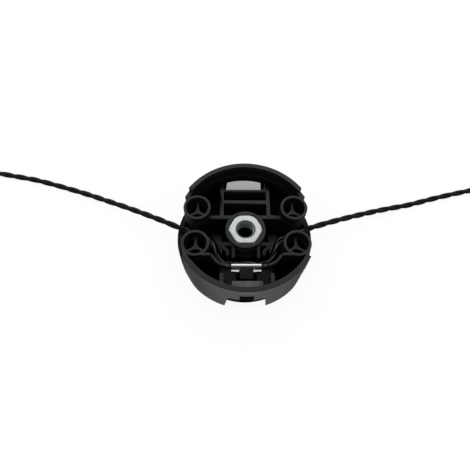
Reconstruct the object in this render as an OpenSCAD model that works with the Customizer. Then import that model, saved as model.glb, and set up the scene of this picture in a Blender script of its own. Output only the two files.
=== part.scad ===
// Trimmer head housing, open side up, with its nut, line clip and cutting line.
// Millimetres. +Z up, origin at the centre of the base, -Y towards the clip side.

/* [Housing shell] */

// outside radius of the cup at its rim
rim_r = 38.5; // [37:0.1:41]

// outside radius of the cup at its base
base_r = 38.6; // [37:0.1:41]

// height of the cup from base to rim
body_h = 31; // [30:0.5:36]

// thickness of the round wall
wall_t = 2.8; // [2.2:0.1:3.2]

// thickness of the floor
floor_t = 2.5; // [2:0.1:4]

// rounding of the rim's outer edge
rim_round = 0.4; // [0.2:0.1:1.2]

// rounding of the base's outer edge
base_round = 0.8; // [0.3:0.1:1.2]

/* [Wall cutaways] */

// angle from the X axis where the full height wall starts
full_wall_a = 35; // [33:0.5:40]

// angle where the stub beside a socket boss ends
stub_a = 28.5; // [26:0.5:31]

// angle of the step between exit wall and side wall
step_a = 3.6; // [3:0.1:4]

// height of the stub beside a socket boss
stub_z = 27.2; // [25:0.1:29]

// height of the wall under the line exit
exit_wall_z = 12; // [11:0.1:12.1]

// height of the side wall in front of the line exit
side_wall_z = 15.5; // [13:0.1:20]

/* [Wall notches] */

// height of the two notches in the wall
notch_z = 16.5; // [13:0.1:17]

// width of a notch at its top
notch_top_w = 20; // [16:0.1:21]

// width of a notch at the base
notch_base_w = 23.2; // [18:0.1:24]

// radius where the floor stops inside a notch
notch_floor_r = 35; // [34:0.1:35.5]

/* [Socket bosses] */

// distance of a boss from the YZ plane
boss_x = 26.7; // [26.5:0.1:27]

// distance of a boss from the XZ plane
boss_y = 10.7; // [10.6:0.1:11]

// outside radius of a boss
boss_r = 7.5; // [7.2:0.1:7.6]

// radius of the socket in a boss
socket_r = 5.7; // [5.6:0.1:6]

// height of a boss
boss_z = 29; // [27:0.1:30]

// radius of the hollow below a socket, between its spokes
core_r = 5.3; // [4.8:0.1:5.5]

// thickness of the three spokes in a socket
spoke_t = 1.45; // [1:0.05:2]

// depth of a socket down to its spokes
socket_depth = 5.5; // [4:0.1:8]

/* [Hub] */

// outside radius of the ring around the nut
ring_r = 11.2; // [11:0.1:12]

// height of the ring around the nut
ring_z = 23.2; // [22.5:0.1:23.4]

// radius of the upper step at the hub's front
upper_step_r = 12.2; // [12:0.1:13]

// height of the upper step at the hub's front
upper_step_z = 20.5; // [19:0.1:22]

// radius of the lower step at the hub's front
lower_step_r = 13.6; // [13:0.1:14.5]

// height of the lower step at the hub's front
lower_step_z = 16; // [12:0.1:18]

// radius of the shaft hole under the nut
shaft_r = 5.4; // [5.2:0.1:6]

// radius of the seat recess in the base
seat_r = 14; // [12:0.5:18]

// depth of the seat recess in the base
seat_depth = 1.5; // [1:0.1:2]

/* [Nut] */

// distance across the nut's flats
nut_flats = 17; // [16:0.1:17]

// height of the nut
nut_h = 8; // [6:0.1:9]

// radius of the nut's threaded bore at the crests
nut_bore_r = 4.35; // [4.3:0.05:4.45]

// radius of the countersink at each end of the bore
nut_sink_r = 5.6; // [5.1:0.1:6]

// top face of the nut above the base
nut_top_z = 23.4; // [23:0.1:24]

// gap between the nut's flats and its pocket
pocket_gap = 0.15; // [0.05:0.05:0.25]

/* [Rear frame] */

// distance of a rear rail from the YZ plane
rail_x = 13.1; // [12.6:0.1:13.6]

// thickness of a rear rail
rail_t = 2; // [1.5:0.1:2.4]

// distance behind the axis where a rail starts to slope down
rail_bend_y = 24.6; // [22:0.1:28]

// height of a rail where it meets the wall
rail_low_z = 19; // [17:0.1:21]

// distance of the cross rib behind the axis
cross_y = 17.4; // [15:0.1:20]

// thickness of the cross rib
cross_t = 2.1; // [1.5:0.1:2.5]

// distance of the window rib behind the axis
window_rib_y = 24.8; // [23.5:0.1:26]

// thickness of the window rib
window_rib_t = 1.2; // [1:0.1:2]

// distance of the rear webs behind the axis
rear_web_y = 7.7; // [7:0.1:8.5]

// thickness of the rear webs
rear_web_t = 2; // [1.5:0.1:2.5]

// height of the rear webs
rear_web_z = 23; // [20:0.1:24]

// leg of the gusset outside the rail and web corner
gusset = 3.2; // [2:0.1:4]

// height of that gusset
gusset_z = 20.5; // [18:0.1:22]

/* [Front ribs] */

// distance of a short front rib from the YZ plane
short_rib_x = 6.9; // [6:0.1:7.2]

// thickness of a short front rib
short_rib_t = 1.9; // [1.5:0.1:2.2]

// height of the short ribs, front webs and brackets
front_rib_z = 21.5; // [20:0.1:22.5]

// distance of the front webs before the axis
front_web_y = 8.1; // [7.8:0.1:8.6]

// thickness of the front webs
front_web_t = 2.2; // [1.5:0.1:2.4]

// thickness of the slanted brackets
bracket_t = 2; // [1.2:0.1:2.2]

/* [Line guides] */

// inner side of a guide block from the YZ plane
guide_x = 13.1; // [13:0.1:13.3]

// top of a guide block at its front
guide_z = 20; // [18:0.1:21]

// top of a guide block at its back
guide_low_z = 12; // [10:0.1:12]

// thickness of the curved guide walls
curve_t = 1.5; // [1.2:0.1:1.7]

// height of the curved guide walls
curve_z = 22.4; // [21:0.1:23]

// distance of the clip wall before the axis
clip_wall_y = 21.1; // [21:0.05:21.2]

/* [Front platform] */

// top of the platform
platform_z = 20.5; // [19.5:0.1:21]

// thickness of the platform
platform_t = 2; // [1.5:0.1:2.5]

// thickness of the walls beside the platform
front_rail_t = 2.1; // [1.5:0.1:2.4]

// distance before the axis where the raised ends of the front rails start
front_rail_y = 27.2; // [26:0.1:29]

// top of the raised end of a front rail
front_rail_z = 27.5; // [26:0.1:29.5]

// width of the front pad
pad_w = 15.8; // [13:0.1:17]

// distance of the pad's back face before the axis
pad_y = 31.9; // [31:0.1:33]

// height of the pad at its back face
pad_low_z = 28.9; // [27:0.1:29.2]

// height of the pad at the wall
pad_high_z = 29.8; // [29.3:0.1:30.5]

// width of the clip tongue
tongue_w = 7; // [6:0.1:7.2]

// top of the clip tongue
tongue_z = 23.7; // [22.5:0.1:24]

// free end of the tongue before the axis
tongue_end_y = 29.1; // [28:0.1:30]

// width of the slots beside the tongue
tongue_slot = 2; // [1:0.1:2.2]

/* [Line clip] */

// width of the clip
clip_w = 16; // [14:0.1:16.5]

// thickness of the clip's sheet
clip_t = 0.7; // [0.5:0.05:0.8]

// lower end of the clip's back leg
clip_foot_z = 14.6; // [12:0.1:17]

// top of the clip's ridge
clip_ridge_z = 23.6; // [23.3:0.1:24.2]

// top of the wall under the clip
lip_z = 21.6; // [21.2:0.05:21.7]

/* [Cutting line] */

// diameter over the twisted line
line_d = 3; // [2.4:0.1:3]

// height of the line's centre where it leaves over the wall
exit_line_z = 13.8; // [13.8:0.1:14]

// height of the line's centre behind the clip
mid_line_z = 16; // [15.8:0.1:16.2]

/* [Hidden] */

$fn = 96;

over = 1;
inner_r = rim_r - wall_t;
rib_reach_r = inner_r + 0.8;
sector_reach = 60;
pocket_z = nut_top_z - nut_h;
spoke_z = boss_z - socket_depth;
spoke_angles = [90, 210, 330];
sides = [-1, 1];

rail_end_y = sqrt(inner_r * inner_r - rail_x * rail_x);
rail_slope = (ring_z - rail_low_z) / (rail_end_y - rail_bend_y);

front_rail_x = 13.15;
platform_half_w = front_rail_x;
platform_low_z = platform_z - platform_t;
pad_rise = (pad_high_z - pad_low_z) / (inner_r - pad_y);

clip_gap = 0.05;
clip_wall_back_y = clip_wall_y - curve_t / 2;
leg_y = clip_wall_back_y - clip_gap - clip_t / 2;
crest_z = clip_ridge_z - clip_t / 2;
clip_end_y = leg_y + 4.4;
clip_end_z = platform_z + clip_gap + clip_t / 2;
lip_front_y = leg_y + 2.2;
clip_notch_w = tongue_w + 0.6;
clip_notch_y = leg_y + 2.8;
tongue_back_y = clip_notch_y + 0.35;
seat_gap = 0.1;
line_seat_z = mid_line_z - line_d / 2 - seat_gap;
line_mid_y = 17.85;

// plan of the right curved guide wall, from the boss to the clip wall
curve_pts = [[24.6, -14.3], [22.6, -14.2], [20.5, -14.3], [18.6, -15.2], [16.8, -16.9],
             [14.8, -19], [12.2, -20.6], [9, -clip_wall_y]];

// plan of the channel side of the right guide block
guide_pts = [[20.1, 1.4], [17.8, -2.4], [16, -6.5], [14.6, -10.3], [13.4, -12.9]];

// side view of the clip's centre line, as distance before the axis and height
clip_pts = [[leg_y, clip_foot_z], [leg_y, crest_z - 1.65], [leg_y + 0.15, crest_z - 0.85],
            [leg_y + 0.45, crest_z - 0.25], [leg_y + 0.95, crest_z], [leg_y + 1.65, crest_z],
            [leg_y + 2.15, crest_z - 0.3], [leg_y + 2.5, crest_z - 1.05],
            [leg_y + 2.8, clip_end_z + 0.55], [leg_y + 3.15, clip_end_z + 0.1],
            [leg_y + 3.5, clip_end_z], [clip_end_y, clip_end_z]];

// the line's route from its middle to the right exit, then each tail
half_route = [[0, -line_mid_y, mid_line_z], [4.5, -line_mid_y, mid_line_z],
              [8.5, -line_mid_y, mid_line_z], [11.5, -17.3, mid_line_z - 0.1],
              [14, -15.4, mid_line_z - 0.3], [15.7, -12.2, mid_line_z - 0.6],
              [17.1, -8.4, mid_line_z - 1], [18.6, -4.9, mid_line_z - 1.4],
              [20.9, -1.9, exit_line_z + 0.6], [25.2, 0.1, exit_line_z + 0.3],
              [30, 2.25, exit_line_z + 0.1], [34.3, 4.1, exit_line_z]];
right_tail = [[38.2, 5.5, exit_line_z], [45, 8, exit_line_z - 0.7], [53.3, 11.2, 11.4],
              [63.1, 14.8, 9.4], [72.9, 18.3, 7.2], [83, 21.7, 5.1], [92.6, 24.5, 3.5],
              [103.2, 27.2, 2.3], [113, 30, 1.8], [123.4, 33, 1.6], [135.3, 36, 1.6],
              [147.9, 38.9, 1.6], [154, 40.4, 1.6]];
left_tail = [[-38.1, 5.7, exit_line_z], [-48.2, 10.9, exit_line_z - 1.6], [-58.7, 16.4, 9.7],
             [-70.8, 22.4, 7], [-82.9, 27.9, 4.7], [-95.1, 33.2, 2.9], [-107.5, 37.8, 1.9],
             [-120, 41.8, 1.6], [-131.7, 45.1, 1.6], [-143.9, 47.6, 1.6], [-155.8, 50, 1.6],
             [-161, 51, 1.6]];
route = concat([for (i = [len(left_tail) - 1:-1:0]) left_tail[i]],
               [for (i = [len(half_route) - 1:-1:1]) flip_x(half_route[i])],
               half_route, right_tail);
line_sides = 8;
steps_curve = 3;
steps_route = 2;

function flip_x(p) = [-p[0], p[1], p[2]];
function unit(v) = v / norm(v);
function perp(v) = [-v[1], v[0]];
function heading(p, i) = unit(p[min(i + 1, len(p) - 1)] - p[max(i - 1, 0)]);

// one point of a smooth curve through b and c, between neighbours a and d
function blend(a, b, c, d, t) =
    0.5 * (2 * b + (c - a) * t + (2 * a - 5 * b + 4 * c - d) * t * t
           + (3 * b - a - 3 * c + d) * t * t * t);
function smooth(p, n) = concat(
    [for (i = [0:len(p) - 2], k = [0:n - 1])
        blend(p[max(i - 1, 0)], p[i], p[i + 1], p[min(i + 2, len(p) - 1)], k / n)],
    [p[len(p) - 1]]);

// outline of a strip of thickness t along the flat path p
function strip(p, t) = concat(
    [for (i = [0:len(p) - 1]) p[i] + perp(heading(p, i)) * t / 2],
    [for (i = [len(p) - 1:-1:0]) p[i] - perp(heading(p, i)) * t / 2]);

// outline of the cup, as radius and height
function cup_outline() = [
    [0, 0], [base_r - base_round, 0], [base_r - base_round * 0.3, base_round * 0.3],
    [base_r, base_round], [rim_r, body_h - rim_round],
    [rim_r - rim_round * 0.3, body_h - rim_round * 0.3], [rim_r - rim_round, body_h], [0, body_h]];

// ring of points around the path p at point i, for the line's surface
function line_ring(p, i) =
    let (f = heading(p, i), s = unit(cross(f, [0, 0, 1])), u = cross(s, f))
    [for (k = [0:line_sides - 1])
        p[i] + line_d / 2 * (cos(360 * k / line_sides) * s + sin(360 * k / line_sides) * u)];

// everything above z0 between two angles
module sector(a0, a1, z0) {
    translate([0, 0, z0])
    linear_extrude(body_h)
    polygon([[0, 0], sector_reach * [cos(a0), sin(a0)],
             sector_reach * [cos((a0 + a1) / 2), sin((a0 + a1) / 2)],
             sector_reach * [cos(a1), sin(a1)]]);
}

// both sides of the YZ plane
module both_sides() {
    children();
    mirror([1, 0, 0]) children();
}

// plate of thickness t centred at x, from an outline of Y and Z
module side_plate(x, t, pts) {
    translate([x - t / 2, 0, 0])
    rotate([90, 0, 90])
    linear_extrude(t)
    polygon(pts);
}

module block(x0, x1, y0, y1, z0, z1) {
    translate([x0, y0, z0])
    cube([x1 - x0, y1 - y0, z1 - z0]);
}

module cup() {
    difference() {
        rotate_extrude() polygon(cup_outline());
        translate([0, 0, floor_t]) cylinder(r = inner_r, h = body_h);
        both_sides() {
            sector(stub_a - over, full_wall_a, stub_z);
            sector(step_a, stub_a, exit_wall_z);
            sector(-stub_a, step_a, side_wall_z);
            sector(-full_wall_a, over - stub_a, stub_z);
        }
    }
}

module hub() {
    cylinder(r = ring_r, h = ring_z);
    intersection() {
        union() {
            cylinder(r = upper_step_r, h = upper_step_z);
            cylinder(r = lower_step_r, h = lower_step_z);
        }
        block(-short_rib_x, short_rib_x, -lower_step_r - over, 0, 0, body_h);
    }
}

module bosses() {
    for (sx = sides, sy = sides)
        translate([sx * boss_x, sy * boss_y, 0]) cylinder(r = boss_r, h = boss_z);
}

module socket_hollow() {
    translate([0, 0, spoke_z]) cylinder(r = socket_r, h = body_h);
    difference() {
        translate([0, 0, floor_t]) cylinder(r = core_r, h = body_h);
        for (a = spoke_angles)
            rotate(a) block(-over / 10, boss_r, -spoke_t / 2, spoke_t / 2, 0, spoke_z);
    }
}

module rear_rail() {
    side_plate(rail_x, rail_t, [
        [rear_web_y, 0], [rib_reach_r, 0],
        [rib_reach_r, ring_z - rail_slope * (rib_reach_r - rail_bend_y)],
        [rail_bend_y, ring_z], [rear_web_y, ring_z]]);
}

module rear_gusset() {
    corner_x = rail_x + rail_t / 2 - 0.2;
    corner_y = rear_web_y + rear_web_t / 2 - 0.2;
    linear_extrude(gusset_z)
    polygon([[corner_x, corner_y], [corner_x + gusset, corner_y], [corner_x, corner_y + gusset]]);
}

module rear_frame() {
    block(-rail_x, rail_x, cross_y - cross_t / 2, cross_y + cross_t / 2, 0, ring_z);
    block(-rail_x, rail_x, window_rib_y - window_rib_t / 2, window_rib_y + window_rib_t / 2, 0, ring_z);
    both_sides() {
        rear_rail();
        rear_gusset();
        block(ring_r - 4, boss_x - socket_r, rear_web_y - rear_web_t / 2,
              rear_web_y + rear_web_t / 2, 0, rear_web_z);
    }
}

module front_ribs() {
    bracket = [[guide_x, -8.6], [12.6, -9.7], [9.9, -12.5], [9.9, -14.9]];
    both_sides() {
        block(short_rib_x - short_rib_t / 2, short_rib_x + short_rib_t / 2,
              -16.2, -ring_r + 4, 0, front_rib_z);
        block(ring_r - 4, guide_x + over / 2, -front_web_y - front_web_t / 2,
              -front_web_y + front_web_t / 2, 0, front_rib_z);
        linear_extrude(front_rib_z) polygon(strip(bracket, bracket_t));
    }
}

module guide_block() {
    plan = concat([[guide_x, 2.2], [16.5, 2.6]], smooth(guide_pts, steps_curve),
                  [[guide_x, -13.7]]);
    intersection() {
        linear_extrude(guide_z) polygon(plan);
        side_plate(guide_x, 20, [
            [-20, 0], [-20, guide_z], [-9, guide_z], [3, guide_low_z], [3, 0]]);
    }
}

module curved_wall() {
    linear_extrude(curve_z) polygon(strip(smooth(curve_pts, steps_curve), curve_t));
}

module platform() {
    both_sides() {
        block(front_rail_x - front_rail_t / 2, front_rail_x + front_rail_t / 2,
              -rib_reach_r, -clip_wall_y + curve_t / 2, 0, platform_z);
        block(front_rail_x - front_rail_t / 2, front_rail_x + front_rail_t / 2,
              -rib_reach_r, -front_rail_y, 0, front_rail_z);
    }
    block(-platform_half_w, platform_half_w, -rib_reach_r, -clip_wall_back_y,
          platform_low_z, platform_z);
    block(-10, 10, -clip_wall_y - curve_t / 2, -clip_wall_back_y, 0, lip_z);
    block(-clip_w / 2, clip_w / 2, -lip_front_y, -clip_wall_back_y, platform_low_z, lip_z);
    side_plate(0, pad_w, [
        [-pad_y, platform_low_z], [-pad_y, pad_low_z],
        [-rib_reach_r, pad_low_z + pad_rise * (rib_reach_r - pad_y)],
        [-rib_reach_r, platform_low_z]]);
}

module tongue_slots() {
    slot_back_y = lip_front_y + 0.4;
    outer = tongue_w / 2 + tongue_slot;
    difference() {
        block(-outer, outer, -pad_y, -slot_back_y, platform_low_z - over, body_h);
        block(-tongue_w / 2, tongue_w / 2, -tongue_end_y, 0, 0, tongue_z);
    }
}

module tongue() {
    block(-tongue_w / 2, tongue_w / 2, -tongue_end_y, -tongue_back_y, platform_low_z, tongue_z);
}

module line_seat() {
    block(-short_rib_x, short_rib_x, -line_mid_y - 1.4, -line_mid_y + 1.7, 0, line_seat_z);
}

module wall_notch() {
    half = notch_top_w / 2;
    foot = notch_base_w / 2;
    outline = [[-foot, 0], [-half, notch_z], [half, notch_z], [foot, 0], [foot, -over], [-foot, -over]];
    difference() {
        rotate([90, 0, 0]) linear_extrude(sector_reach) polygon(outline);
        translate([0, 0, -2 * over]) cylinder(r = notch_floor_r, h = floor_t + 2 * over);
        translate([0, 0, floor_t - over / 10]) cylinder(r = inner_r - over, h = body_h);
    }
}

module nut_pocket() {
    pocket_r = (nut_flats / 2 + pocket_gap) / cos(30);
    translate([0, 0, pocket_z]) cylinder(r = pocket_r, h = body_h, $fn = 6);
    translate([0, 0, -over]) cylinder(r = shaft_r, h = body_h);
    translate([0, 0, -over]) cylinder(r = seat_r, h = seat_depth + over);
}

module housing() {
    color([0.09, 0.09, 0.095])
    difference() {
        union() {
            cup();
            intersection() {
                union() {
                    hub();
                    bosses();
                    rear_frame();
                    front_ribs();
                    both_sides() {
                        guide_block();
                        curved_wall();
                    }
                    platform();
                    tongue();
                    line_seat();
                }
                cylinder(r = rib_reach_r, h = body_h);
            }
        }
        for (sx = sides, sy = sides)
            translate([sx * boss_x, sy * boss_y, 0]) socket_hollow();
        nut_pocket();
        tongue_slots();
        wall_notch();
        rotate(180) wall_notch();
    }
}

module hex_nut() {
    corner_r = nut_flats / 2 / cos(30);
    face_r = nut_flats / 2 - 0.3;
    drop = (corner_r - face_r) * tan(30);
    sink = nut_sink_r - nut_bore_r;
    color([0.8, 0.83, 0.82])
    translate([0, 0, pocket_z])
    difference() {
        intersection() {
            cylinder(r = corner_r, h = nut_h, $fn = 6);
            rotate_extrude()
            polygon([[0, 0], [face_r, 0], [corner_r, drop], [corner_r, nut_h - drop],
                     [face_r, nut_h], [0, nut_h]]);
        }
        translate([0, 0, -over]) cylinder(r = nut_bore_r, h = nut_h + 2 * over);
        translate([0, 0, nut_h - sink]) cylinder(r1 = nut_bore_r, r2 = nut_sink_r, h = sink + 0.001);
        translate([0, 0, -0.001]) cylinder(r1 = nut_sink_r, r2 = nut_bore_r, h = sink);
    }
}

module line_clip() {
    notch_half = clip_notch_w / 2;
    path = [for (q = clip_pts) [-q[0], q[1]]];
    color([0.85, 0.84, 0.82])
    difference() {
        side_plate(0, clip_w, strip(path, clip_t));
        block(-notch_half, notch_half, -clip_end_y - over, -clip_notch_y, 0, body_h);
    }
}

module trimmer_line() {
    path = smooth(route, steps_route);
    last = len(path) - 1;
    color([0.05, 0.05, 0.05])
    polyhedron(
        points = [for (i = [0:last]) each line_ring(path, i)],
        faces = concat(
            [[for (k = [0:line_sides - 1]) k]],
            [for (i = [0:last - 1], k = [0:line_sides - 1])
                let (n = (k + 1) % line_sides, a = i * line_sides, b = a + line_sides)
                [a + k, b + k, b + n, a + n]],
            [[for (k = [line_sides - 1:-1:0]) last * line_sides + k]]));
}

housing();
hex_nut();
line_clip();
trimmer_line();
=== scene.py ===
"""Trimmer head housing, dressed for the photograph's view. Metres, in the CAD's frame."""
import math

import bmesh
import bpy
from mathutils import Matrix, Vector


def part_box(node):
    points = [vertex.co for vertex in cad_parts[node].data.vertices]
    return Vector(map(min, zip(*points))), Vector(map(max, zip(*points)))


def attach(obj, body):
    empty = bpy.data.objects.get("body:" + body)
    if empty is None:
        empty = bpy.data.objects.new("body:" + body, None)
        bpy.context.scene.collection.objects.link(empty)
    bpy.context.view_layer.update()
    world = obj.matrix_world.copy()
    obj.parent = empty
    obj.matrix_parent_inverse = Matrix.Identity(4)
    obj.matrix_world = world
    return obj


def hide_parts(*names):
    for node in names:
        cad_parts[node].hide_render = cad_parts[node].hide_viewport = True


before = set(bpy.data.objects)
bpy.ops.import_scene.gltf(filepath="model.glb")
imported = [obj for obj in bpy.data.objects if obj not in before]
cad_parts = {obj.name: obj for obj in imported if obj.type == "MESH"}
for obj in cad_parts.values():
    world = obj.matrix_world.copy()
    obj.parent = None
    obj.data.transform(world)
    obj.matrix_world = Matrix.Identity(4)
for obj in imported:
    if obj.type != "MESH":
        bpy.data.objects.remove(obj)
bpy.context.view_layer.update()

MM = 0.001
scene = bpy.context.scene
scene.view_settings.view_transform = "Standard"

# The camera, fitted to the photograph by least squares
CAMERA_TURN = math.radians(-3.539)
CAMERA_HEIGHT = math.radians(64.701)
CAMERA_ROLL = math.radians(3.307)
CAMERA_AWAY = 250.827 * MM
CAMERA_FOCUS_PX = 410.645
PHOTO_PX = 470
SENSOR_MM = 36
LOOK_AT = Vector((-5.204, 7.416, 0)) * MM

# The cutting line, as part.scad routes it, in millimetres
EXIT_Z = 13.8
MID_Z = 16
MID_Y = -17.85
HALF_ROUTE = [(0, MID_Y, MID_Z), (4.5, MID_Y, MID_Z), (8.5, MID_Y, MID_Z),
              (11.5, -17.3, MID_Z - 0.1), (14, -15.4, MID_Z - 0.3), (15.7, -12.2, MID_Z - 0.6),
              (17.1, -8.4, MID_Z - 1), (18.6, -4.9, MID_Z - 1.4), (20.9, -1.9, EXIT_Z + 0.6),
              (25.2, 0.1, EXIT_Z + 0.3), (30, 2.25, EXIT_Z + 0.1), (34.3, 4.1, EXIT_Z)]
RIGHT_TAIL = [(38.2, 5.5, EXIT_Z), (45, 8, EXIT_Z - 0.7), (53.3, 11.2, 11.4), (63.1, 14.8, 9.4),
              (72.9, 18.3, 7.2), (83, 21.7, 5.1), (92.6, 24.5, 3.5), (103.2, 27.2, 2.3),
              (113, 30, 1.8), (123.4, 33, 1.6), (135.3, 36, 1.6), (147.9, 38.9, 1.6),
              (154, 40.4, 1.6)]
LEFT_TAIL = [(-38.1, 5.7, EXIT_Z), (-48.2, 10.9, EXIT_Z - 1.6), (-58.7, 16.4, 9.7),
             (-70.8, 22.4, 7), (-82.9, 27.9, 4.7), (-95.1, 33.2, 2.9), (-107.5, 37.8, 1.9),
             (-120, 41.8, 1.6), (-131.7, 45.1, 1.6), (-143.9, 47.6, 1.6), (-155.8, 50, 1.6),
             (-161, 51, 1.6)]
LINE_PITCH = 18.2 * MM
LINE_PHASE = 0.0
LOBE_RADIUS = 1.38 * MM
LOBE_OFFSET = 0.38 * MM
GROOVE_DEPTH = 0.48 * MM
GROOVE_WIDTH = 0.28
POLISHED_WITHIN = (35 * MM, 32 * MM)
LINE_STEPS = 10


def place_camera():
    back = Vector((math.sin(CAMERA_TURN) * math.cos(CAMERA_HEIGHT),
                   -math.cos(CAMERA_TURN) * math.cos(CAMERA_HEIGHT), math.sin(CAMERA_HEIGHT)))
    level = (-back).cross(Vector((0, 0, 1))).normalized()
    upright = level.cross(-back)
    right = level * math.cos(CAMERA_ROLL) + upright * math.sin(CAMERA_ROLL)
    up = upright * math.cos(CAMERA_ROLL) - level * math.sin(CAMERA_ROLL)
    data = bpy.data.cameras.new("view")
    data.sensor_width = SENSOR_MM
    data.lens = CAMERA_FOCUS_PX / PHOTO_PX * SENSOR_MM
    data.clip_start, data.clip_end = 0.005, 20
    camera = bpy.data.objects.new("view", data)
    scene.collection.objects.link(camera)
    turned = Matrix((right, up, back)).transposed().to_4x4()
    camera.matrix_world = Matrix.Translation(LOOK_AT + back * CAMERA_AWAY) @ turned
    scene.camera = camera


# Node helpers

def join(tree, source, target):
    tree.links.new(source, target)


def add(tree, kind, **settings):
    """A node of that kind, with its properties, and input values given as a dict."""
    values = settings.pop("values", {})
    node = tree.nodes.new(kind)
    for name, value in settings.items():
        setattr(node, name, value)
    for name, value in values.items():
        node.inputs[name].default_value = value
    return node


def sums(tree, operation, *terms):
    """The output of a math node whose terms are sockets or numbers."""
    node = add(tree, "ShaderNodeMath", operation=operation)
    for slot, term in zip(node.inputs, terms):
        if hasattr(term, "links"):
            join(tree, term, slot)
        else:
            slot.default_value = term
    return node.outputs[0]


def new_material(name):
    material = bpy.data.materials.new(name)
    material.use_nodes = True
    tree = material.node_tree
    tree.nodes.clear()
    shader = add(tree, "ShaderNodeBsdfPrincipled")
    out = add(tree, "ShaderNodeOutputMaterial")
    join(tree, shader.outputs["BSDF"], out.inputs["Surface"])
    return material, tree, shader


def noise(tree, vector, scale, detail=3.0, roughness=0.5):
    node = add(tree, "ShaderNodeTexNoise",
               values={"Scale": scale, "Detail": detail, "Roughness": roughness})
    join(tree, vector, node.inputs["Vector"])
    return node.outputs["Fac"]


def ramp(tree, factor, stops):
    """A colour ramp from a list of (place, colour or grey)."""
    node = add(tree, "ShaderNodeValToRGB")
    join(tree, factor, node.inputs["Fac"])
    points = node.color_ramp.elements
    while len(points) < len(stops):
        points.new(0.5)
    for point, (place, colour) in zip(points, stops):
        point.position = place
        point.color = (*colour, 1) if hasattr(colour, "__len__") else (colour, colour, colour, 1)
    return node.outputs["Color"]


def stretch(tree, vector, scale, shift=(0, 0, 0)):
    node = add(tree, "ShaderNodeMapping", values={"Scale": scale, "Location": shift})
    join(tree, vector, node.inputs["Vector"])
    return node.outputs["Vector"]


def bump(tree, height, strength, distance, under=None):
    node = add(tree, "ShaderNodeBump", values={"Strength": strength, "Distance": distance})
    join(tree, height, node.inputs["Height"])
    if under is not None:
        join(tree, under, node.inputs["Normal"])
    return node.outputs["Normal"]


# Materials

# Painted shade: the masks below colour the plastic near black and cut its shine in the cup's hollows,
# standing in for their shadow.
SHADE_INSIDE_WALL = (36.4 * MM, 35.9 * MM)
SHADE_LOW = (22.9 * MM, 20.6 * MM)
SHADE_SIDES = ((23.4 * MM, 24.2 * MM), (28.8 * MM, 28.3 * MM))
SHADE_UNDER_RIM = ((29.2 * MM, 29.6 * MM), (30.9 * MM, 30.5 * MM))
BEHIND_RAIL_ENDS = (-26.9 * MM, -26.3 * MM)
SHADE_SHELF = (26 * MM, 24.5 * MM)
SHADE_FRONT = (-21.7 * MM, -22.3 * MM)
SHADE_SILL = (12.8 * MM, 12.5 * MM)
SHADE_SLIT_X = (3.9 * MM, 3.7 * MM)
SHADE_SLIT_Y = (-28.2 * MM, -28.4 * MM)
SHADE_SLIT_Z = (23.64 * MM, 23.5 * MM)
NO_SHINE = 1.56
LEVEL_ENOUGH = (0.6, 0.8)
PAINTED_SHADE_TONE = (0.003, 0.003, 0.003)
SOCKET_AT = (26.7 * MM, 10.7 * MM)
FRONT_BOSS_SHIFT = 0.5 * MM
SPOKES_WITHIN = (5.3 * MM, 4.9 * MM)
SPOKES_HEIGHT = ((23.2 * MM, 23.4 * MM), (24.0 * MM, 23.8 * MM))
# Painted sheen: the spokes and the guide tops are coloured paler, standing in for the light they catch.
PAINTED_SHEEN_TONE = (0.030, 0.030, 0.031)
SPOKE_SHEEN = 0.5
BLOCKS_FROM_X = (12.8 * MM, 13.0 * MM)
BLOCKS_TO_X = (18.6 * MM, 18.4 * MM)
BLOCKS_BEHIND = (5 * MM, -7 * MM)
BLOCKS_HEIGHT = ((11 * MM, 11.5 * MM), (20.4 * MM, 20.2 * MM))
WALLS_FROM_X = (8.0 * MM, 8.4 * MM)
WALLS_TO_X = (19.0 * MM, 18.4 * MM)
WALLS_BEHIND = (-16.2 * MM, -16.6 * MM)
WALLS_BEFORE = (-22.4 * MM, -22.2 * MM)
WALLS_HEIGHT = ((21.8 * MM, 22.2 * MM), (29.0 * MM, 28.8 * MM))
SLOPED_ENOUGH = ((0.3, 0.5), (0.995, 0.975))
# Painted highlight on the front pad: where it lies, where it is brightest, and its colour.
PAD_HEIGHT = ((28.6 * MM, 28.8 * MM), (30.2 * MM, 30 * MM))
PAD_LEFT = (-8 * MM, -7.6 * MM)
PAD_RIGHT = (7.4 * MM, 4.6 * MM)
PAD_BRIGHTEST_AT = 0.8 * MM
PAD_BRIGHT_HALF = 2.0 * MM
PAD_FRONT = (-31.6 * MM, -31.9 * MM)
PAD_HIGHLIGHT_TONE = (0.055, 0.056, 0.057)

def between(tree, value, start, end):
    """Nought before start and one after end, with a soft step; end may be the smaller one."""
    step = add(tree, "ShaderNodeMapRange", interpolation_type="SMOOTHSTEP",
               values={"From Min": start, "From Max": end})
    join(tree, value, step.inputs["Value"])
    return step.outputs["Result"]


def band(tree, value, lower, upper):
    """One between two places and nought beyond them, with a soft step at each."""
    return sums(tree, "MULTIPLY", between(tree, value, *lower), between(tree, value, *upper))


def from_axis(tree, x, y):
    """The distance from the upright axis through the origin."""
    squares = sums(tree, "ADD", sums(tree, "MULTIPLY", x, x), sums(tree, "MULTIPLY", y, y))
    return sums(tree, "SQRT", squares)


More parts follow.
